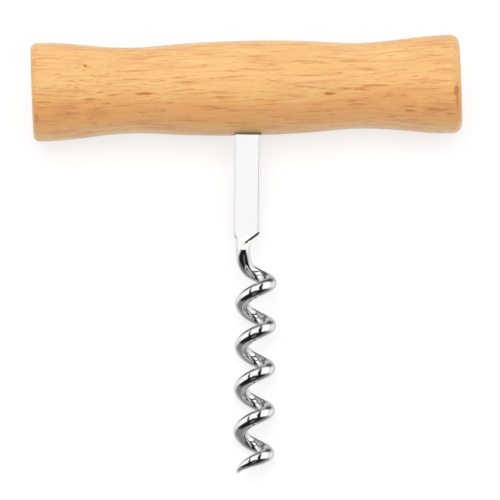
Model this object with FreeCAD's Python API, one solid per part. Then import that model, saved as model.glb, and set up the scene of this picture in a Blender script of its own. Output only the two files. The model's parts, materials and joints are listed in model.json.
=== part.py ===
"""T-handle corkscrew: a turned wooden handle across the top of a steel shank and worm.

The two pieces are drawn upright, with the handle's axis along X, the worm pointing down and the front
towards -Y. At the end they are laid down as the corkscrew rests on a table: front up, worm towards -Y,
both ends of the handle and the coil's last full turn on the table at z = 0, and the origin on the table
under the middle of the whole. Lengths are in millimetres and angles in degrees.
"""
import FreeCAD
import Part
import math
import os

# Handle, one turned piece of wood: thick in the middle, waisted on each side, thickest near its ends
handle_length = 105.0
handle_middle_diameter = 23.1
handle_waist_diameter = 20.95
handle_crest_diameter = 24.1
waist_from_middle = 27.6
crest_from_end = 2.5
left_edge_round = 1.6
right_edge_round = 2.4

# How far the profile holds each diameter, as a share of the run to the next one
middle_pull = 0.62
inner_waist_pull = 0.25
outer_waist_pull = 0.35
crest_pull = 0.35

# Shank: the wire's upper end, forged flat; its top is the tang inside the handle
shank_width = 6.4
shank_thickness = 1.8
shank_edge_round = 0.5
shank_length = 24.4
shank_off_middle = 0.5
shank_lean = 2.0
tang_depth = 15.0
tang_corner_chamfer = 1.2
mortise_clearance = 0.12
mortise_floor_clearance = 0.3

# Foot of the shank: a neck on the left and a sheared shoulder on the right, down to the round wire
neck_length = 2.55
neck_pull = 0.4
shoulder_below_neck_top = 0.2
shoulder_angle = 38.0
shoulder_foot_past_wire = 0.55
shoulder_chamfer = 0.25
front_forging_depth = 0.4
front_forging_flat = 2.4
front_forging_run = 2.6
back_forging_flat = 0.1
back_forging_run = 2.6

# Worm: a right-handed open coil of round wire, ground to a point
wire_diameter = 3.4
coil_diameter = 10.0
coil_pitch = 10.55
coil_turns = 4.97
coil_off_shank = 2.6
lead_bend_radius = 7.6
lead_bend_pull = 0.6
point_length = 9.0
point_diameter = 0.9
point_outward_share = 0.35
point_raised_share = 0.5
point_sections = 12

# Radii and depths that follow; a depth is measured down the shank from the handle's axis
end_radius = handle_crest_diameter / 2
underside = handle_middle_diameter / 2
edge_round = min(shank_edge_round, 0.45 * shank_thickness)
tang_end = tang_depth - underside
neck_top = underside + shank_length
neck_bottom = neck_top + neck_length
shoulder_top = neck_top + shoulder_below_neck_top
wire_radius = wire_diameter / 2
tip_radius = point_diameter / 2
coil_radius = (coil_diameter - wire_diameter) / 2
lead_x = coil_off_shank - coil_radius
shoulder_foot_x = lead_x + shoulder_foot_past_wire
shoulder_run = (shank_width / 2 - shoulder_foot_x) / math.cos(math.radians(shoulder_angle))

# The coil's climb and turns that follow; turns are radians from the side where the lead-in comes down
drop_per_radian = coil_pitch / (2 * math.pi)
wire_per_radian = math.hypot(coil_radius, drop_per_radian)
bend_run = lead_bend_radius * math.tan(math.atan2(coil_radius, drop_per_radian) / 2)
coil_top = neck_bottom + bend_run
bend_turn = bend_run / wire_per_radian
last_turn = 2 * math.pi * coil_turns
point_turn = last_turn - point_length / wire_per_radian

ORIGIN = FreeCAD.Vector(0, 0, 0)
RIGHT = FreeCAD.Vector(1, 0, 0)
BACK = FreeCAD.Vector(0, 1, 0)
UP = FreeCAD.Vector(0, 0, 1)
ON_THE_HANDLE = FreeCAD.Placement(RIGHT * shank_off_middle, FreeCAD.Rotation(BACK, shank_lean))


def s_curve(start, end, start_pull, end_pull):
    """Smooth curve in the XZ plane that leaves start and reaches end running along X."""
    run = end[0] - start[0]
    poles = [start, (start[0] + start_pull * run, start[1]), (end[0] - end_pull * run, end[1]), end]
    curve = Part.BezierCurve()
    curve.setPoles([FreeCAD.Vector(x, 0, z) for x, z in poles])
    return curve.toShape()


def straight(*corners):
    """Straight edges in the XZ plane from corner to corner."""
    points = [FreeCAD.Vector(x, 0, z) for x, z in corners]
    return [Part.makeLine(first, second) for first, second in zip(points, points[1:])]


def edge_rounding(side, radius):
    """Quarter circle between the side of the handle and its flat end face."""
    end = handle_length / 2
    inset = radius * (1 - math.cos(math.pi / 4))
    return Part.Arc(
        FreeCAD.Vector(side * (end - radius), 0, end_radius),
        FreeCAD.Vector(side * (end - inset), 0, end_radius - inset),
        FreeCAD.Vector(side * end, 0, end_radius - radius),
    ).toShape()


def turned_handle():
    """The handle before its mortise is cut, a solid of revolution about X."""
    end = handle_length / 2
    middle = (0, underside)
    waist = (waist_from_middle, handle_waist_diameter / 2)
    crest = (end - crest_from_end, end_radius)
    half = [
        s_curve(middle, waist, middle_pull, inner_waist_pull),
        s_curve(waist, crest, outer_waist_pull, crest_pull),
    ]
    outline = half + [edge.mirror(ORIGIN, RIGHT) for edge in half]
    for side, radius in ((-1, left_edge_round), (1, right_edge_round)):
        outline += straight((side * crest[0], end_radius), (side * (end - radius), end_radius))
        outline.append(edge_rounding(side, radius))
        outline += straight((side * end, end_radius - radius), (side * end, 0))
    outline += straight((-end, 0), (end, 0))
    section = Part.Face(Part.Wire(Part.sortEdges(outline)[0]))
    return section.revolve(ORIGIN, RIGHT, 360)


def mortise():
    """Blind slot for the tang, open below the handle, with the shank's rounded corners."""
    width = shank_width + 2 * mortise_clearance
    thickness = shank_thickness + 2 * mortise_clearance
    height = handle_crest_diameter + tang_end + mortise_floor_clearance
    corner = FreeCAD.Vector(-width / 2, -thickness / 2, -handle_crest_diameter)
    block = Part.makeBox(width, thickness, height, corner)
    upright = [edge for edge in block.Edges if abs(edge.tangentAt(edge.FirstParameter).z) > 0.99]
    return block.makeFillet(edge_round + mortise_clearance, upright)


def is_long_edge(edge):
    """True for the shank's edges along both sides of its front and back faces."""
    centre = edge.CenterOfMass
    on_a_face = abs(abs(centre.y) - shank_thickness / 2) < 0.001
    in_span = -neck_bottom < centre.z < tang_end - tang_corner_chamfer
    at_a_side = centre.x < lead_x or centre.x > shank_width / 2 - 0.001
    return on_a_face and in_span and at_a_side


def shoulder_break():
    """Prism that breaks the front edge of the sheared shoulder, down to its foot."""
    corner = FreeCAD.Vector(shank_width / 2, -shank_thickness / 2, -shoulder_top)
    slope = math.radians(shoulder_angle)
    along = FreeCAD.Vector(-math.cos(slope), 0, -math.sin(slope))
    inwards = FreeCAD.Vector(-math.sin(slope), 0, math.cos(slope))
    start = corner - along * shank_width
    side = [
        start + inwards * shoulder_chamfer,
        start + BACK * shoulder_chamfer,
        start - (inwards + BACK) * shoulder_chamfer,
    ]
    return Part.Face(Part.makePolygon(side + side[:1])).extrude(along * (shank_width + shoulder_run))


def flat_shank():
    """Tang and shank: one front outline made as thick as the flat, then rounded along both sides."""
    half = shank_width / 2
    neck_foot = (lead_x - 0.94 * wire_radius, -neck_bottom)
    shoulder_drop = shoulder_run * math.sin(math.radians(shoulder_angle))
    neck = s_curve((neck_top, -half), (neck_bottom, neck_foot[0]), neck_pull, neck_pull)
    neck.rotate(ORIGIN, BACK, 90)
    outline = [neck] + straight(
        neck_foot,
        (shoulder_foot_x, -shoulder_top - shoulder_drop),
        (half, -shoulder_top),
        (half, tang_end - tang_corner_chamfer),
        (half - tang_corner_chamfer, tang_end),
        (tang_corner_chamfer - half, tang_end),
        (-half, tang_end - tang_corner_chamfer),
        (-half, -neck_top),
    )
    front = Part.Face(Part.Wire(Part.sortEdges(outline)[0]))
    front.translate(BACK * (-shank_thickness / 2))
    plate = front.extrude(BACK * shank_thickness)
    plate = plate.makeFillet(edge_round, [edge for edge in plate.Edges if is_long_edge(edge)])
    return plate.cut(shoulder_break())


def coil_depth(turn):
    """Depth of the coil's centre line at a turn."""
    return coil_top + drop_per_radian * turn


def unrolled(turn, depth):
    """Point on the cylinder through the coil's centre line, unrolled: turn across and depth down."""
    return FreeCAD.Base.Vector2d(math.pi - turn, -depth)


def wire_path():
    """Centre line of the round wire down to its ground point: lead-in, bend and coil on one cylinder."""
    cylinder = Part.Cylinder()
    cylinder.Radius = coil_radius
    cylinder.Center = RIGHT * coil_off_shank
    lead = Part.Geom2d.Line2dSegment(
        unrolled(0, shoulder_top - wire_radius / 2),
        unrolled(0, neck_bottom),
    )
    pulled_turn = (1 - lead_bend_pull) * bend_turn
    bend = Part.Geom2d.BezierCurve2d()
    bend.setPoles([
        unrolled(0, neck_bottom),
        unrolled(0, neck_bottom + lead_bend_pull * bend_run),
        unrolled(pulled_turn, coil_depth(pulled_turn)),
        unrolled(bend_turn, coil_depth(bend_turn)),
    ])
    coil = Part.Geom2d.Line2dSegment(
        unrolled(bend_turn, coil_depth(bend_turn)),
        unrolled(point_turn, coil_depth(point_turn)),
    )
    return Part.Wire([curve.toShape(cylinder) for curve in (lead, bend, coil)])


def ground_radius(turn):
    """Radius of the wire at a turn: full down to the point, then narrowing to the tip."""
    share_left = (last_turn - turn) / (last_turn - point_turn)
    return tip_radius + (wire_radius - tip_radius) * math.sin(math.pi / 2 * min(share_left, 1))


def coil_centre(turn):
    """Centre of the wire at a turn; the ground point keeps outwards and towards the handle."""
    ground_off = wire_radius - ground_radius(turn)
    radius = coil_radius + point_outward_share * ground_off
    x = coil_off_shank - radius * math.cos(turn)
    return FreeCAD.Vector(x, radius * math.sin(turn), point_raised_share * ground_off - coil_depth(turn))


def point_section(turn):
    """Round section of the ground point, square to the coil."""
    outward = FreeCAD.Vector(-math.cos(turn), math.sin(turn), 0)
    along = FreeCAD.Vector(
        coil_radius * math.sin(turn),
        coil_radius * math.cos(turn),
        -drop_per_radian,
    )
    square = FreeCAD.Rotation(outward, ORIGIN, along, "ZXY")
    circle = Part.makeCircle(ground_radius(turn))
    circle.Placement = FreeCAD.Placement(coil_centre(turn), square)
    return Part.Wire(circle)


def ground_point():
    """Last stretch of the coil, narrowing to a small round tip."""
    step = (last_turn - point_turn) / point_sections
    sections = [point_section(point_turn + step * index) for index in range(point_sections + 1)]
    return Part.makeLoft(sections, True).fuse(Part.makeSphere(tip_radius, coil_centre(last_turn)))


def forging_wedge(side, level, flat, run):
    """Wedge outside the flat and the slope that take the round wire down to a level on one side."""
    reach = 2 * wire_radius
    foot = flat + run
    profile = [(level, -wire_radius), (level, flat), (wire_radius, foot), (reach, foot), (reach, -wire_radius)]
    corners = [FreeCAD.Vector(lead_x - reach, side * y, -shoulder_top - drop) for y, drop in profile]
    return Part.Face(Part.makePolygon(corners + corners[:1])).extrude(RIGHT * 2 * reach)


def round_wire():
    """Lead-in, coil and ground point, the top of the lead-in forged down front and back."""
    path = wire_path()
    top = path.Edges[0].Vertexes[0].Point
    section = Part.Wire(Part.makeCircle(wire_radius, top))
    wire = path.makePipeShell([section], True, False).fuse(ground_point())
    plate_face = shank_thickness / 2
    front = forging_wedge(-1, plate_face - front_forging_depth, front_forging_flat, front_forging_run)
    back = forging_wedge(1, plate_face, back_forging_flat, back_forging_run)
    return wire.cut([front, back])


def placed(shape, placement):
    """Copy of the shape, moved by the placement."""
    moved = shape.copy()
    moved.Placement = placement.multiply(shape.Placement)
    return moved


def coil_reach(dip, direction):
    """How far the coil reaches in a direction, from the handle's axis, when the worm dips by an angle."""
    tipped = FreeCAD.Placement(ORIGIN, FreeCAD.Rotation(RIGHT, dip - 90)).multiply(ON_THE_HANDLE)
    steps = round(coil_turns * 180)
    turns = [bend_turn + (last_turn - bend_turn) * index / steps for index in range(steps + 1)]
    return max(tipped.multVec(coil_centre(turn)).dot(direction) + ground_radius(turn) for turn in turns)


def resting_dip():
    """Angle by which the worm dips when the coil and both ends of the handle touch the table."""
    low, high = 0.0, 45.0
    for _ in range(30):
        middle = (low + high) / 2
        if coil_reach(middle, -UP) < end_radius:
            low = middle
        else:
            high = middle
    return low


handle = turned_handle().cut(placed(mortise(), ON_THE_HANDLE))
worm = placed(flat_shank().fuse(round_wire()).removeSplitter(), ON_THE_HANDLE)

dip = resting_dip()
to_the_middle = (coil_reach(dip, -BACK) - end_radius) / 2
on_the_table = FreeCAD.Placement(
    FreeCAD.Vector(0, to_the_middle, end_radius),
    FreeCAD.Rotation(RIGHT, dip - 90),
)
print(f"dip {dip:.3f} degrees, handle's axis at y {to_the_middle:.3f}, z {end_radius:.3f}")

os.makedirs("parts", exist_ok=True)
placed(handle, on_the_table).exportStep("parts/handle.step")
placed(worm, on_the_table).exportStep("parts/worm.step")
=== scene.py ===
"""T-handle corkscrew lying at rest: the turned wooden handle and the steel worm, with their finishes.

Lengths are in metres and angles in radians. Both pieces are modelled upright first, with the handle's axis
along X through the origin and the worm pointing down, and are then laid down where the frame holds them.
"""
import bpy
import json
import math
from mathutils import Matrix, Vector


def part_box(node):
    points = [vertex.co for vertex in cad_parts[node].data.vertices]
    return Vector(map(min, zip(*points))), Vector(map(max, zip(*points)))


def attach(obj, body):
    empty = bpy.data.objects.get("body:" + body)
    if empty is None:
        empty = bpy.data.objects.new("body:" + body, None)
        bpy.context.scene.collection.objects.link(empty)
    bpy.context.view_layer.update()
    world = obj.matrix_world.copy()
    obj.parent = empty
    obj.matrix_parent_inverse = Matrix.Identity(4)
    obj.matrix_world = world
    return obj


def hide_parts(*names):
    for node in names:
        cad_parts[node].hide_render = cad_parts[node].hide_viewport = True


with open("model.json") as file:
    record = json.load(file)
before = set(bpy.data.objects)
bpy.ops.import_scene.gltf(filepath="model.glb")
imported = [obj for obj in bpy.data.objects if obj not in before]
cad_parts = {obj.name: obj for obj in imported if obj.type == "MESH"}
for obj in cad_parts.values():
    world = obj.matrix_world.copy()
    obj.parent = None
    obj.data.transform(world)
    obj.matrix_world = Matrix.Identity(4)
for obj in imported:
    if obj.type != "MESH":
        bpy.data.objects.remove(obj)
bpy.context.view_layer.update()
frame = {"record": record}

# Handle: one piece of pale hardwood, turned thick in the middle, waisted on each side and thickest near its
# flat ends, then sanded and given a thin satin coat. The shank's tang is glued into a mortise chopped up
# into its middle from below.
handle_low, handle_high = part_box("handle")
handle_centre = (handle_low + handle_high) / 2
half_length = (handle_high.x - handle_low.x) / 2
crest_radius = (handle_high.z - handle_low.z) / 2
middle_radius = 0.01155
waist_radius = 0.010475
waist_from_middle = 0.0276
crest_from_end = 0.0025
left_edge_round = 0.0016
right_edge_round = 0.0024
middle_pull = 0.62
inner_waist_pull = 0.25
outer_waist_pull = 0.35
crest_pull = 0.35
inner_steps = 34
outer_steps = 26
rounding_steps = 8
sides_round = 128
end_out_of_square = math.radians(0.9)
end_trim = 0.00016
end_reach = 0.014
worm_direction = Vector(next(m["axis"] for m in frame["record"]["mounts"] if m["name"] == "worm_in_cork"))
shank_off_middle = 0.0005
shank_lean = -math.asin(worm_direction.x)
worm_dip = math.atan2(-worm_direction.z, -worm_direction.y)
laid_down = (
    Matrix.Translation(handle_centre)
    @ Matrix.Rotation(worm_dip - math.pi / 2, 4, "X")
    @ Matrix.Translation((shank_off_middle, 0, 0))
    @ Matrix.Rotation(shank_lean, 4, "Y")
)
shank_width = 0.0064
shank_thickness = 0.0018
shank_edge_round = 0.0005
tang_height = 0.015 - middle_radius
mortise_clearance = 0.00012
mortise_floor_clearance = 0.0003


def curve_points(poles, steps):
    """Points after the first pole on the curve of four poles, up to and with the last one."""
    points = []
    for step in range(1, steps + 1):
        t = step / steps
        weights = [(1 - t) ** 3, 3 * t * (1 - t) ** 2, 3 * t * t * (1 - t), t ** 3]
        points.append([sum(weight * pole[axis] for weight, pole in zip(weights, poles)) for axis in (0, 1)])
    return points


def s_curve(start, end, start_pull, end_pull, steps):
    """Points after start on a curve that leaves start and reaches end level, up to and with end."""
    run = end[0] - start[0]
    poles = [start, (start[0] + start_pull * run, start[1]), (end[0] - end_pull * run, end[1]), end]
    return curve_points(poles, steps)


def handle_half(edge_round):
    """Places from the middle and radii of the rings of one half, from the middle to its flat end."""
    waist = (waist_from_middle, waist_radius)
    crest = (half_length - crest_from_end, crest_radius)
    rings = s_curve((0, middle_radius), waist, middle_pull, inner_waist_pull, inner_steps)
    rings += s_curve(waist, crest, outer_waist_pull, crest_pull, outer_steps)
    for step in range(rounding_steps + 1):
        turn = math.pi / 2 * step / rounding_steps
        along = half_length - edge_round + edge_round * math.sin(turn)
        rings.append((along, crest_radius - edge_round + edge_round * math.cos(turn)))
    return rings


def only_object(piece):
    """Selects one object and nothing else, and makes it the active one."""
    bpy.ops.object.select_all(action="DESELECT")
    piece.select_set(True)
    bpy.context.view_layer.objects.active = piece


def select_where(piece, kind, test):
    """In edit mode, selects the vertices, edges or faces whose middle and corners pass a test."""
    bpy.ops.mesh.select_mode(type={"edges": "EDGE", "polygons": "FACE", "vertices": "VERT"}[kind])
    bpy.ops.mesh.select_all(action="DESELECT")
    bpy.ops.object.mode_set(mode="OBJECT")
    points = [vertex.co for vertex in piece.data.vertices]
    for part in getattr(piece.data, kind):
        corners = [points[index] for index in part.vertices] if kind != "vertices" else [part.co]
        part.select = test(sum(corners, Vector()) / len(corners), corners)
    bpy.ops.object.mode_set(mode="EDIT")


def apply_boolean(piece, tool, operation):
    """Cuts a closed tool from a piece, or joins it on, and deletes the tool."""
    only_object(piece)
    modifier = piece.modifiers.new(operation.lower(), "BOOLEAN")
    modifier.operation = operation
    modifier.solver = "EXACT"
    modifier.object = tool
    bpy.ops.object.modifier_apply(modifier=modifier.name)
    bpy.data.objects.remove(tool)


def lay_down(piece, matrix):
    """Places an upright piece and applies the place to its mesh."""
    only_object(piece)
    piece.matrix_world = matrix
    bpy.ops.object.transform_apply(location=True, rotation=True, scale=True)


left_half = [(-along, radius) for along, radius in reversed(handle_half(left_edge_round))]
rings = left_half + [(0, middle_radius)] + handle_half(right_edge_round)
bpy.ops.object.select_all(action="DESELECT")
bpy.ops.mesh.primitive_circle_add(
    vertices=sides_round,
    radius=rings[0][1],
    fill_type="NGON",
    location=(rings[0][0], 0, 0),
    rotation=(0, math.pi / 2, 0),
)
handle = bpy.context.object
handle.name = "turned_handle"
bpy.ops.object.transform_apply(location=True, rotation=True, scale=True)
bpy.ops.object.mode_set(mode="EDIT")
bpy.ops.mesh.select_all(action="SELECT")
for (before, old_radius), (along, radius) in zip(rings, rings[1:]):
    bpy.ops.mesh.extrude_region_move(TRANSFORM_OT_translate={"value": (along - before, 0, 0)})
    growth = radius / old_radius
    bpy.ops.transform.resize(value=(1, growth, growth), center_override=(along, 0, 0))
bpy.ops.mesh.select_all(action="SELECT")
bpy.ops.mesh.remove_doubles(threshold=0.00001)
bpy.ops.mesh.normals_make_consistent(inside=False)

# Both ends are sawn a little out of square
pull = {
    "use_proportional_edit": True,
    "proportional_edit_falloff": "SMOOTH",
    "proportional_size": end_reach,
}
for side in (-1, 1):
    select_where(handle, "polygons", lambda middle, corners: side * middle.x > half_length - 1e-6)
    bpy.ops.transform.rotate(
        value=-end_out_of_square, orient_axis="Z", center_override=(side * half_length, 0, 0), **pull
    )
    bpy.ops.transform.translate(value=(-side * end_trim, 0, 0), **pull)
bpy.ops.object.mode_set(mode="OBJECT")
lay_down(handle, Matrix.Translation(handle_centre))

mortise_top = tang_height + mortise_floor_clearance
mortise_height = 2 * crest_radius
bpy.ops.mesh.primitive_cube_add(size=1, location=(0, 0, mortise_top - mortise_height / 2))
mortise = bpy.context.object
mortise.scale = (
    shank_width + 2 * mortise_clearance,
    shank_thickness + 2 * mortise_clearance,
    mortise_height,
)
bpy.ops.object.transform_apply(location=True, rotation=True, scale=True)
lay_down(mortise, laid_down)
apply_boolean(handle, mortise, "DIFFERENCE")
bpy.ops.object.shade_smooth_by_angle(angle=math.radians(35))


class Shade:
    """Output of a shader node that takes part in arithmetic: an operator adds its Math node."""

    def __init__(self, tree, output=None):
        self.tree = tree
        self.output = output

    def node(self, kind, inputs, output=0, stops=None, **settings):
        """New node of a kind: its settings and a ramp's stops first, then values or links of its sockets."""
        node = self.tree.nodes.new(kind)
        for name, value in settings.items():
            setattr(node, name, value)
        if stops:
            while len(node.color_ramp.elements) < len(stops):
                node.color_ramp.elements.new(0.5)
            for element, (position, colour) in zip(node.color_ramp.elements, stops):
                element.position = position
                element.color = (*colour, 1)
        for name, value in inputs.items():
            if isinstance(value, Shade):
                self.tree.links.new(value.output, node.inputs[name])
            else:
                node.inputs[name].default_value = value
        return Shade(self.tree, node.outputs[output])

    def math(self, operation, *values):
        return self.node("ShaderNodeMath", dict(enumerate(values)), operation=operation)

    def __add__(self, other):
        return self.math("ADD", self, other)

    def __sub__(self, other):
        return self.math("SUBTRACT", self, other)

    def __rsub__(self, other):
        return self.math("SUBTRACT", other, self)

    def __mul__(self, other):
        return self.math("MULTIPLY", self, other)

    def __truediv__(self, other):
        return self.math("DIVIDE", self, other)

    __radd__ = __add__
    __rmul__ = __mul__

    def vector(self, operation, other, output=0):
        """Vector maths with another vector; output is Value where the result is a number."""
        return self.node("ShaderNodeVectorMath", {0: self, 1: other}, output=output, operation=operation)

    def part(self, axis):
        """X, Y or Z of a vector."""
        return self.node("ShaderNodeSeparateXYZ", {0: self}, output=axis)

    def size(self):
        """The number without its sign."""
        return self.math("ABSOLUTE", self)

    def most(self, other):
        """The greater of two numbers."""
        return self.math("MAXIMUM", self, other)

    def between(self, low, high):
        """0 below low, 1 above high and smooth between them."""
        return self.node(
            "ShaderNodeMapRange",
            {"Value": self, "From Min": low, "From Max": high},
            interpolation_type="SMOOTHSTEP",
        )

    def mix(self, low, high):
        """Colour that goes from low to high as this share goes from 0 to 1."""
        return self.node("ShaderNodeMix", {0: self, 6: low, 7: high}, output=2, data_type="RGBA")


def new_material(name):
    """Empty material, and the start of its shader maths."""
    material = bpy.data.materials.new(name)
    material.use_nodes = True
    material.node_tree.nodes.clear()
    return material, Shade(material.node_tree)


def finish_material(material, surface):
    """Links a shader to the material's output."""
    output = material.node_tree.nodes.new("ShaderNodeOutputMaterial")
    material.node_tree.links.new(surface.output, output.inputs["Surface"])


def object_place(shade):
    """Place in the object's own coordinates, in metres."""
    return shade.node("ShaderNodeTexCoord", {}, output="Object")


def beyond(shade, point, direction):
    """How far the surface lies beyond a point in a direction."""
    reach = object_place(shade).vector("DOT_PRODUCT", tuple(direction), output="Value")
    return reach - point.dot(direction)


def along_grain(shade, run, across):
    """Object coordinates in cells that are run long along the handle and across wide the other ways."""
    return object_place(shade).vector("MULTIPLY", (1 / run, 1 / across, 1 / across))


def noise(shade, place, detail=2.0, roughness=0.5):
    """Noise from 0 to 1 at a place."""
    return shade.node(
        "ShaderNodeTexNoise",
        {"Vector": place, "Scale": 1.0, "Detail": detail, "Roughness": roughness},
    )


def round_the_handle(shade):
    """Vector of the place along the handle and the turn round it, in radians from its top to its front."""
    apart = object_place(shade).vector("SUBTRACT", tuple(handle_centre))
    turn = shade.math("ARCTAN2", 0 - apart.part("Y"), apart.part("Z"))
    return shade.node("ShaderNodeCombineXYZ", {"X": apart.part("X"), "Y": turn})


def wood_marks(shade):
    """Share of the few single marks of this piece of wood: a pin knot, dark flecks and longer streaks.

    A mark has its place along the handle in mm, its turn round it in degrees, half its length and half its
    width in mm, and its strength.
    """
    waver = noise(shade, along_grain(shade, 0.002, 0.0005), detail=1) * 0.04 - 0.02
    place = round_the_handle(shade).vector("ADD", shade.node("ShaderNodeCombineXYZ", {"Y": waver}))
    share = None
    for along, turn, half_run, half_width, strength in (
        (-39.1, -17, 0.55, 0.55, 1.0),
        (-39.3, -11, 0.4, 0.4, 0.4),
        (-48.0, -27, 5.2, 0.26, 0.5),
        (-40.2, 3, 0.8, 0.28, 0.55),
        (-41.3, 12, 0.8, 0.28, 0.5),
        (-43.3, 15, 1.4, 0.22, 0.35),
        (-27.8, 1.5, 3.4, 0.26, 0.5),
        (-33.6, 7.5, 1.3, 0.3, 0.55),
        (-29.1, -9.5, 4.6, 0.2, 0.35),
        (-24.7, 21, 3.4, 0.5, 0.8),
        (-38.3, 27, 2.3, 0.4, 0.6),
        (-34.2, 33, 1.8, 0.3, 0.5),
        (-29.9, 37, 3.2, 0.26, 0.4),
        (-25.4, 47, 1.9, 0.3, 0.45),
        (-44.5, 45, 4.2, 2.0, 0.2),
        (-36.5, 46, 3.6, 1.8, 0.24),
        (-51.3, 46, 0.6, 1.0, 0.4),
        (-51.4, 53, 0.5, 0.8, 0.4),
        (-15.9, 1.5, 2.2, 0.28, 0.4),
        (-13.7, 17, 1.9, 0.28, 0.4),
        (20.2, 26, 2.0, 0.5, 0.85),
        (27.7, 21.5, 2.4, 0.3, 0.7),
        (31.7, 17, 5.0, 0.4, 0.55),
        (29.7, -5.5, 4.4, 0.5, 0.35),
        (34.6, 29, 1.5, 0.28, 0.45),
        (39.9, 44, 1.9, 0.32, 0.6),
        (39.9, 50, 1.9, 0.34, 0.65),
        (35.1, 62, 1.7, 0.3, 0.6),
        (20.7, 56, 1.4, 0.3, 0.4),
        (46.3, 48, 3.8, 0.6, 0.5),
        (49.6, 54, 1.8, 0.3, 0.6),
        (51.4, 34, 0.5, 5.5, 0.4),
        (51.2, 25, 0.9, 2.0, 0.75),
    ):
        middle = (along / 1000, math.radians(turn), 0)
        stretch = (1000 / half_run, middle_radius * 1000 / half_width, 0)
        apart = place.vector("SUBTRACT", middle).vector("MULTIPLY", stretch)
        mark = (1 - apart.vector("LENGTH", (0, 0, 0), "Value").between(0.4, 1.0)) * strength
        share = mark if share is None else share.most(mark)
    return share


def painted_slot_shade(shade):
    """Share of the painted shade at the mouth of the slot: a dark line along its edge and a soft brown shade
    above.
    """
    slot = laid_down @ Vector((0, -shank_thickness / 2 - mortise_clearance, 0))
    above = beyond(shade, slot, laid_down.to_3x3() @ Vector((0, -1, 0)))
    aside = (object_place(shade).part("X") - slot.x).size()
    line = (1 - above.between(0.0005, 0.00075)) * (1 - aside.between(0.0028, 0.0034)) * 0.88
    soft = (1 - above.between(0.0004, 0.0026)) * (1 - aside.between(0.001, 0.0045)) * 0.4
    in_front = 1 - object_place(shade).part("Y").between(slot.y - 0.001, slot.y)
    return line.most(soft) * above.between(-0.0002, 0) * in_front


def hardwood():
    """Pale honey wood under a satin coat with streaks, pores and marks, and painted shade: darker on top,
    darker and redder lower on the front.
    """
    material, shade = new_material("satin_hardwood")
    patches = noise(shade, along_grain(shade, 0.018, 0.005), detail=2)
    warmth = noise(shade, along_grain(shade, 0.009, 0.0035), detail=2)
    streaks = noise(shade, along_grain(shade, 0.013, 0.0009), detail=3, roughness=0.6)
    dashes = noise(shade, along_grain(shade, 0.0055, 0.00045), detail=1)
    pores = noise(shade, along_grain(shade, 0.0019, 0.00026), detail=1)
    turn = round_the_handle(shade).part("Y") + (patches - 0.5) * 0.8
    # Painted shade: a darker, redder band on the lower front of the handle, turned away from the light
    painted_shade_below = turn.between(0.2, 0.8) * (1 - turn.between(0.95, 1.45))
    # Painted shade: a darker band along the top of the handle, where the lamp falls strongest
    painted_shade_on_top = turn.between(-0.85, -0.3) * (1 - turn.between(0.1, 0.45))
    honey = shade.node(
        "ShaderNodeValToRGB",
        {"Fac": patches},
        stops=[(0.3, (0.88, 0.57, 0.22)), (0.5, (0.87, 0.515, 0.18)), (0.7, (0.86, 0.46, 0.155))],
    )
    dash_share = dashes.between(0.58, 0.76)
    pore_share = pores.between(0.62, 0.8)
    colour = (warmth.between(0.45, 0.65) * 0.5).mix(honey, (0.84, 0.42, 0.145, 1))
    # Painted shade mixed into the colour: darker and redder on the lower front, a little darker along the top
    colour = (painted_shade_below * 0.8).mix(colour, (0.81, 0.37, 0.115, 1))
    colour = (painted_shade_on_top * 0.6).mix(colour, (0.72, 0.41, 0.135, 1))
    colour = (streaks.between(0.46, 0.72) * 0.9).mix(colour, (0.70, 0.31, 0.10, 1))
    colour = (dash_share * 0.75).mix(colour, (0.56, 0.19, 0.045, 1))
    colour = (pore_share * 0.65).mix(colour, (0.52, 0.165, 0.035, 1))
    colour = wood_marks(shade).mix(colour, (0.46, 0.12, 0.02, 1))
    # Painted shade at the mouth of the slot, where the gap round the shank falls dark
    colour = painted_slot_shade(shade).mix(colour, (0.14, 0.08, 0.03, 1))
    height = streaks * 0.3 - pore_share - dash_share * 0.5
    bump = shade.node("ShaderNodeBump", {"Strength": 0.25, "Distance": 0.00005, "Height": height})
    surface = shade.node(
        "ShaderNodeBsdfPrincipled",
        {
            "Base Color": colour,
            "Roughness": 0.5 + pore_share * 0.2,
            "Coat Weight": 0.5,
            "Coat Roughness": 0.35,
            "Sheen Weight": 0.2,
            "Normal": bump,
        },
    )
    finish_material(material, surface)
    return material


handle.data.materials.clear()
handle.data.materials.append(hardwood())
handle.visible_glossy = False
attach(handle, "root")
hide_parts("handle")

# Worm: one length of round steel wire, wound into a right-handed open coil and ground to a point. Its upper
# end is forged flat as the shank and tang, eased in on the left and sheared off askew on the right. Wire
# and shank are nickel plated together after they are shaped.
wire_radius = 0.0017
coil_radius = 0.0033
coil_pitch = 0.01055
coil_turns = 4.97
coil_off_shank = 0.0026
lead_x = coil_off_shank - coil_radius
tang_corner_chamfer = 0.0012
neck_top = middle_radius + 0.0244
neck_length = 0.00255
neck_bottom = neck_top + neck_length
neck_pull = 0.4
neck_steps = 10
neck_foot_x = lead_x - 0.94 * wire_radius
shoulder_top = neck_top + 0.0002
shoulder_angle = math.radians(38)
shoulder_foot_x = lead_x + 0.00055
shoulder_chamfer = 0.00025
lead_bend_radius = 0.0076
lead_bend_pull = 0.6
point_length = 0.009
tip_radius = 0.0005
point_outward_share = 0.35
point_raised_share = 0.26
front_forging_depth = 0.0004
front_forging_flat = 0.0024
back_forging_flat = 0.0001
forging_run = 0.0026
drop_per_radian = coil_pitch / (2 * math.pi)
wire_per_radian = math.hypot(coil_radius, drop_per_radian)
bend_run = lead_bend_radius * math.tan(math.atan2(coil_radius, drop_per_radian) / 2)
coil_top = neck_bottom + bend_run
bend_turn = bend_run / wire_per_radian
last_turn = 2 * math.pi * coil_turns
point_turn = last_turn - point_length / wire_per_radian
steps_per_turn = 96
lead_steps = 12
bend_steps = 40
tip_steps = 8
tip_cap_angle = math.radians(96)


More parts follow.
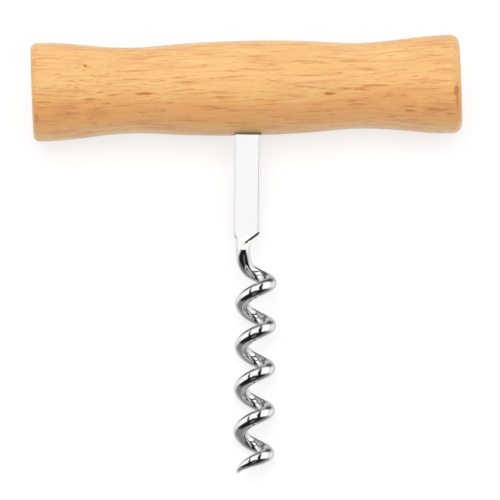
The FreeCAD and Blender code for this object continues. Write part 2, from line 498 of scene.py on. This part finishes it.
def wire_point(turn, depth, radius=wire_radius):
    """Centre and radius of the wire at a turn round the coil's axis and a depth."""
    ground_off = wire_radius - radius
    reach = coil_radius + point_outward_share * ground_off
    height = point_raised_share * ground_off - depth
    return (coil_off_shank - reach * math.cos(turn), reach * math.sin(turn), height), radius


def wire_route():
    """Centres and radii along the wire: lead-in, bend, coil, ground point and rounded tip."""
    route = [wire_point(0, shoulder_top - wire_radius / 2)]
    for step in range(lead_steps + 1):
        route.append(wire_point(0, shoulder_top + (neck_bottom - shoulder_top) * step / lead_steps))
    pulled_turn = (1 - lead_bend_pull) * bend_turn
    poles = [
        (0, neck_bottom),
        (0, neck_bottom + lead_bend_pull * bend_run),
        (pulled_turn, coil_top + drop_per_radian * pulled_turn),
        (bend_turn, coil_top + drop_per_radian * bend_turn),
    ]
    route += [wire_point(turn, depth) for turn, depth in curve_points(poles, bend_steps)]
    steps = round((last_turn - bend_turn) / (2 * math.pi) * steps_per_turn)
    for step in range(1, steps + 1):
        turn = bend_turn + (last_turn - bend_turn) * step / steps
        left = min((last_turn - turn) / (last_turn - point_turn), 1)
        radius = tip_radius + (wire_radius - tip_radius) * math.sin(math.pi / 2 * left)
        route.append(wire_point(turn, coil_top + drop_per_radian * turn, radius))
    for step in range(1, tip_steps):
        lean = tip_cap_angle * step / tip_steps
        turn = last_turn + tip_radius * math.sin(lean) / wire_per_radian
        centre, _ = wire_point(turn, coil_top + drop_per_radian * turn, tip_radius)
        route.append((centre, tip_radius * math.cos(lean)))
    return route


def wire_tube():
    """Round tube along the wire's route, as a closed mesh."""
    curve = bpy.data.curves.new("wire", "CURVE")
    curve.dimensions = "3D"
    curve.bevel_depth = 1.0
    curve.bevel_resolution = 10
    curve.use_fill_caps = True
    route = wire_route()
    spline = curve.splines.new("POLY")
    spline.points.add(len(route) - 1)
    for point, (centre, radius) in zip(spline.points, route):
        point.co = (*centre, 1)
        point.radius = radius
    wire = bpy.data.objects.new("steel_worm", curve)
    bpy.context.collection.objects.link(wire)
    only_object(wire)
    bpy.ops.object.convert(target="MESH")
    wire = bpy.context.object
    bpy.ops.object.mode_set(mode="EDIT")
    bpy.ops.mesh.select_all(action="SELECT")
    bpy.ops.mesh.remove_doubles(threshold=0.000002)
    bpy.ops.mesh.normals_make_consistent(inside=False)
    bpy.ops.object.mode_set(mode="OBJECT")
    return wire


def forging_wedge(side, level, flat):
    """Closed block that takes the wire down to a level on one side of it, with a slope below the flat."""
    reach = 2 * wire_radius
    foot = flat + forging_run
    bpy.ops.object.select_all(action="DESELECT")
    bpy.ops.mesh.primitive_cube_add(size=1)
    wedge = bpy.context.object
    wedge.scale = (2 * reach, reach - level, foot + wire_radius)
    wedge.location = (lead_x, side * (reach + level) / 2, -shoulder_top + wire_radius - wedge.scale.z / 2)
    bpy.ops.object.transform_apply(location=True, rotation=True, scale=True)
    bpy.ops.object.mode_set(mode="EDIT")
    bpy.ops.mesh.select_all(action="SELECT")
    slope = (wire_radius - level) / forging_run
    start = (lead_x, side * level, -shoulder_top - flat)
    bpy.ops.mesh.bisect(plane_co=start, plane_no=(0, -side, -slope), use_fill=True, clear_outer=True)
    bpy.ops.mesh.select_all(action="SELECT")
    bpy.ops.mesh.normals_make_consistent(inside=False)
    bpy.ops.object.mode_set(mode="OBJECT")
    return wedge


def shoulder_break(shear_foot):
    """Square bar on edge that breaks the front edge of the sheared shoulder, down to its foot."""
    length = 0.01
    along = Vector((math.cos(shoulder_angle), 0, math.sin(shoulder_angle)))
    middle = shear_foot + along * (length / 2 - 0.00005) - Vector((0, shank_thickness / 2, 0))
    bpy.ops.object.select_all(action="DESELECT")
    bpy.ops.mesh.primitive_cube_add(size=1)
    bar = bpy.context.object
    bar.scale = (length, shoulder_chamfer * math.sqrt(2), shoulder_chamfer * math.sqrt(2))
    bpy.ops.object.transform_apply(location=True, rotation=True, scale=True)
    turned = Matrix.Rotation(-shoulder_angle, 4, "Y") @ Matrix.Rotation(math.radians(45), 4, "X")
    lay_down(bar, Matrix.Translation(middle) @ turned)
    return bar


def flat_shank():
    """Tang and shank, rounded along both sides, necked in on the left and sheared on the right."""
    half = shank_width / 2
    height = tang_height + neck_top
    bpy.ops.object.select_all(action="DESELECT")
    bpy.ops.mesh.primitive_cube_add(size=1, location=(0, 0, tang_height - height / 2))
    plate = bpy.context.object
    plate.scale = (shank_width, shank_thickness, height)
    bpy.ops.object.transform_apply(location=True, rotation=True, scale=True)
    bpy.ops.object.mode_set(mode="EDIT")
    neck = s_curve((neck_top, -half), (neck_bottom, neck_foot_x), neck_pull, neck_pull, neck_steps)
    neck.append([neck[-1][0] + wire_radius, neck[-1][1]])
    depth, side = neck_top, -half
    for next_depth, next_side in neck:
        select_where(plate, "polygons", lambda middle, corners: middle.z < -depth + 1e-6)
        bpy.ops.mesh.extrude_region_move(TRANSFORM_OT_translate={"value": (0, 0, depth - next_depth)})
        select_where(
            plate, "vertices", lambda middle, corners: middle.z < -next_depth + 1e-6 and middle.x < 0
        )
        bpy.ops.transform.translate(value=(next_side - side, 0, 0))
        depth, side = next_depth, next_side

    def is_top_corner(middle, corners):
        return middle.z > tang_height - 1e-6 and abs(middle.x) > half - 1e-6

    select_where(plate, "edges", is_top_corner)
    bpy.ops.mesh.bevel(offset=tang_corner_chamfer, segments=1)

    def is_long_edge(middle, corners):
        steep = abs(corners[0].z - corners[1].z) > abs(corners[0].x - corners[1].x)
        on_face = abs(corners[0].y - corners[1].y) < 1e-6
        at_side = middle.x > half - 1e-6 or middle.x < lead_x - 0.9 * wire_radius
        return steep and on_face and at_side and middle.z < tang_height - tang_corner_chamfer

    select_where(plate, "edges", is_long_edge)
    bpy.ops.mesh.bevel(offset=shank_edge_round, segments=6)
    shear_drop = (half - shoulder_foot_x) * math.tan(shoulder_angle)
    shear_foot = Vector((shoulder_foot_x, 0, -shoulder_top - shear_drop))
    shear_normal = (math.sin(shoulder_angle), 0, -math.cos(shoulder_angle))
    neck_foot = Vector((neck_foot_x, 0, -neck_bottom - 0.00005))
    foot_run = shear_foot - neck_foot
    for place, normal in ((shear_foot, shear_normal), (neck_foot, (foot_run.z, 0, -foot_run.x))):
        bpy.ops.mesh.select_all(action="SELECT")
        bpy.ops.mesh.bisect(plane_co=place, plane_no=normal, clear_outer=True)
        bpy.ops.mesh.select_all(action="SELECT")
        bpy.ops.mesh.fill_holes(sides=0)
    bpy.ops.mesh.select_all(action="SELECT")
    bpy.ops.mesh.normals_make_consistent(inside=False)
    bpy.ops.object.mode_set(mode="OBJECT")
    apply_boolean(plate, shoulder_break(shear_foot), "DIFFERENCE")
    return plate


worm = wire_tube()
plate_face = shank_thickness / 2
apply_boolean(worm, forging_wedge(-1, plate_face - front_forging_depth, front_forging_flat), "DIFFERENCE")
apply_boolean(worm, forging_wedge(1, plate_face, back_forging_flat), "DIFFERENCE")
apply_boolean(worm, flat_shank(), "UNION")
lay_down(worm, laid_down)
bpy.ops.object.shade_smooth_by_angle(angle=math.radians(20))
weighted = worm.modifiers.new("even_shading", "WEIGHTED_NORMAL")
weighted.keep_sharp = True
bpy.ops.object.modifier_apply(modifier=weighted.name)


def plated_steel():
    """Bright nickel plate, a mirror on the wire and softer on the forged flat.

    The sheared face is coloured near black and rougher, and painted shade darkens the shank at the mouth of
    the slot.
    """
    material, shade = new_material("plated_steel")
    place = object_place(shade)
    wire_top = handle_centre.y - shoulder_top
    on_shank = place.part("Y").between(wire_top - 0.004, wire_top)
    shear = laid_down @ Vector((shank_width / 2, 0, -shoulder_top))
    outwards = laid_down.to_3x3() @ Vector((math.sin(shoulder_angle), 0, -math.cos(shoulder_angle)))
    past_shear = beyond(shade, shear, outwards)
    foot = laid_down @ Vector((shoulder_foot_x, 0, -shoulder_top))
    # The sheared face is coloured near black and rougher
    dark_shear_face = past_shear.between(-0.00029, -0.00025) * (1 - past_shear.between(0.00003, 0.00006))
    dark_shear_face = dark_shear_face * place.part("X").between(foot.x - 0.0001, foot.x)
    depth = beyond(shade, laid_down.translation, laid_down.to_3x3() @ Vector((0, 0, -1)))
    # Painted shade: a dark band on the shank just outside the wood, for the shaded gap at the mouth of the
    # slot
    painted_gap_shade = 1 - depth.between(middle_radius + 0.0002, middle_radius + 0.00032)
    steel = on_shank.mix((0.70, 0.70, 0.696, 1), (0.73, 0.727, 0.712, 1))
    steel = painted_gap_shade.mix(steel, (0.19, 0.13, 0.075, 1))
    surface = shade.node(
        "ShaderNodeBsdfPrincipled",
        {
            "Base Color": dark_shear_face.mix(steel, (0.055, 0.055, 0.055, 1)),
            "Metallic": 1 - painted_gap_shade,
            "Roughness": 0.07 + on_shank * 0.17 + dark_shear_face * 0.2 + painted_gap_shade * 0.3,
        },
    )
    finish_material(material, surface)
    return material


worm.data.materials.clear()
worm.data.materials.append(plated_steel())
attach(worm, "root")
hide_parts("worm")

# Stage: a plain white table that keeps a soft shadow, under a white studio with one large lamp above and a
# weaker one behind.
bpy.ops.object.select_all(action="DESELECT")
bpy.ops.mesh.primitive_plane_add(size=4)
table = bpy.context.object
table.name = "table"
table.visible_glossy = False


def white_table():
    """White laminate that the camera sees as white where no shadow falls."""
    material, shade = new_material("white_table")
    path = shade.node("ShaderNodeLightPath", {}, output="Is Camera Ray")
    surface = shade.node(
        "ShaderNodeBsdfPrincipled",
        {
            "Base Color": path.mix((0.9, 0.9, 0.9, 1), (0.34, 0.34, 0.34, 1)),
            "Roughness": 0.8,
            "Emission Color": (1, 1, 1, 1),
            "Emission Strength": path * 0.68,
        },
    )
    finish_material(material, surface)
    return material


table.data.materials.append(white_table())


# Bright enough that nickel, which mirrors seven tenths of the light, shows the soft boxes white
studio_brightness = 1.315


def studio(light):
    """What shiny surfaces mirror: three white soft boxes overhead, dark gaps between them and a dark front."""
    direction = light.node("ShaderNodeTexCoord", {}, output="Generated")
    aside, back, rise = (direction.part(axis) for axis in "XYZ")
    height = rise.most(0.05)
    x = aside / height
    y = back / height
    far = y.between(0.3, 3.0)
    left_gap = (1 - (x + y * 0.35 + 0.6).size().between(0.08, 0.22)) * (0.95 - far * 0.4)
    bend = (0.3 - y).most(0.0)
    right_gap = (1 - (x - bend * 0.45 - 0.44).size().between(0.15, 0.3)) * (0.98 - far * 0.35)
    rear_wall = (y - (x + y * 0.2).size() * 0.9).between(1.3, 2.3)
    boxes = (1 - rear_wall * 0.66) * (1 - left_gap.most(right_gap)) * 1.08
    overhead = ((y + x.size() * 0.28 + 0.1) / (1 + x.size() * 0.5)).between(-0.2, 0.2)
    front = 0 - y
    pane = (1 - (x + y * 0.2 - 0.05).size().between(0.15, 0.45)) * front.between(0.6, 0.85)
    dark = 0.012 + front.between(3.0, 7.0) * 0.06 + pane * (1 - front.between(1.6, 2.6)) * 0.13
    sky = dark * (1 - overhead) + boxes * overhead
    level = light.math("SQRT", aside * aside + back * back)
    to_back = back / level
    to_side = (aside.size() / level).between(0.6, 0.95) * to_back.between(-0.45, -0.05)
    floor = 0.22 + to_back.between(-0.5, 0.2) * 0.14 + to_side * 0.5
    floor = floor - to_back.between(0.5, 0.85) * (1 - (0 - rise).between(0.35, 0.6)) * 0.27
    below = (0 - rise).between(0.5, 0.8)
    floor = floor * (1 - below) + below * 0.6
    low = 1 - rise.between(-0.1, 0.08)
    edge = 1 - rise.size().between(0.02, 0.09)
    return (sky * (1 - low) + floor * low) * (1 - edge * 0.3) * studio_brightness


room = bpy.data.worlds.new("white_room")
bpy.context.scene.world = room
room.use_nodes = True
room.node_tree.nodes.clear()
light = Shade(room.node_tree)
seen = light.node("ShaderNodeLightPath", {}, output="Is Camera Ray")
mirrored = light.node("ShaderNodeLightPath", {}, output="Is Glossy Ray")
plain = 0.56 + seen * 0.44
strength = plain * (1 - mirrored) + studio(light) * mirrored
background = light.node("ShaderNodeBackground", {"Color": (1, 1, 1, 1), "Strength": strength})
world_output = room.node_tree.nodes.new("ShaderNodeOutputWorld")
room.node_tree.links.new(background.output, world_output.inputs["Surface"])


def lamp(name, place, aim, width, height, power):
    """Large soft rectangular lamp at a place, turned towards its aim."""
    data = bpy.data.lights.new(name, "AREA")
    data.shape = "RECTANGLE"
    data.size = width
    data.size_y = height
    data.energy = power
    piece = bpy.data.objects.new(name, data)
    piece.location = place
    piece.rotation_euler = (Vector(aim) - Vector(place)).to_track_quat("-Z", "Y").to_euler()
    piece.visible_glossy = False
    bpy.context.collection.objects.link(piece)


lamp("key", (0, 0.12, 0.98), (0, 0, 0), 1.2, 0.8, 7.2)
lamp("rear_fill", (0, 1.1, 0.4), (0, 0, 0), 1.2, 0.5, 2.2)

# Camera: far off with a long lens, looking down on the front of the corkscrew from a little towards its
# point. The middle of the handle falls on a chosen pixel of the frame.
pixel = 0.0002440
frame_pixels = 500
handle_pixel = (246.3, 88.0)
camera_elevation = math.radians(74.0)
camera_roll = math.radians(1.2)
camera_distance = 4.5
look = Vector((0, math.cos(camera_elevation), -math.sin(camera_elevation)))
level = Vector((1, 0, 0))
raised = level.cross(look)
right = level * math.cos(camera_roll) - raised * math.sin(camera_roll)
up = level * math.sin(camera_roll) + raised * math.cos(camera_roll)
aside = (handle_pixel[0] - frame_pixels / 2) * pixel
above = (frame_pixels / 2 - handle_pixel[1]) * pixel
camera_data = bpy.data.cameras.new("camera")
camera_data.sensor_width = 36.0
camera_data.lens = 36.0 * camera_distance / (frame_pixels * pixel)
camera_data.clip_end = 20.0
camera = bpy.data.objects.new("camera", camera_data)
bpy.context.collection.objects.link(camera)
place = handle_centre - right * aside - up * above - look * camera_distance
camera.matrix_world = Matrix((
    (right.x, up.x, -look.x, place.x),
    (right.y, up.y, -look.y, place.y),
    (right.z, up.z, -look.z, place.z),
    (0, 0, 0, 1),
))
bpy.context.scene.camera = camera
bpy.context.scene.view_settings.view_transform = "Standard"
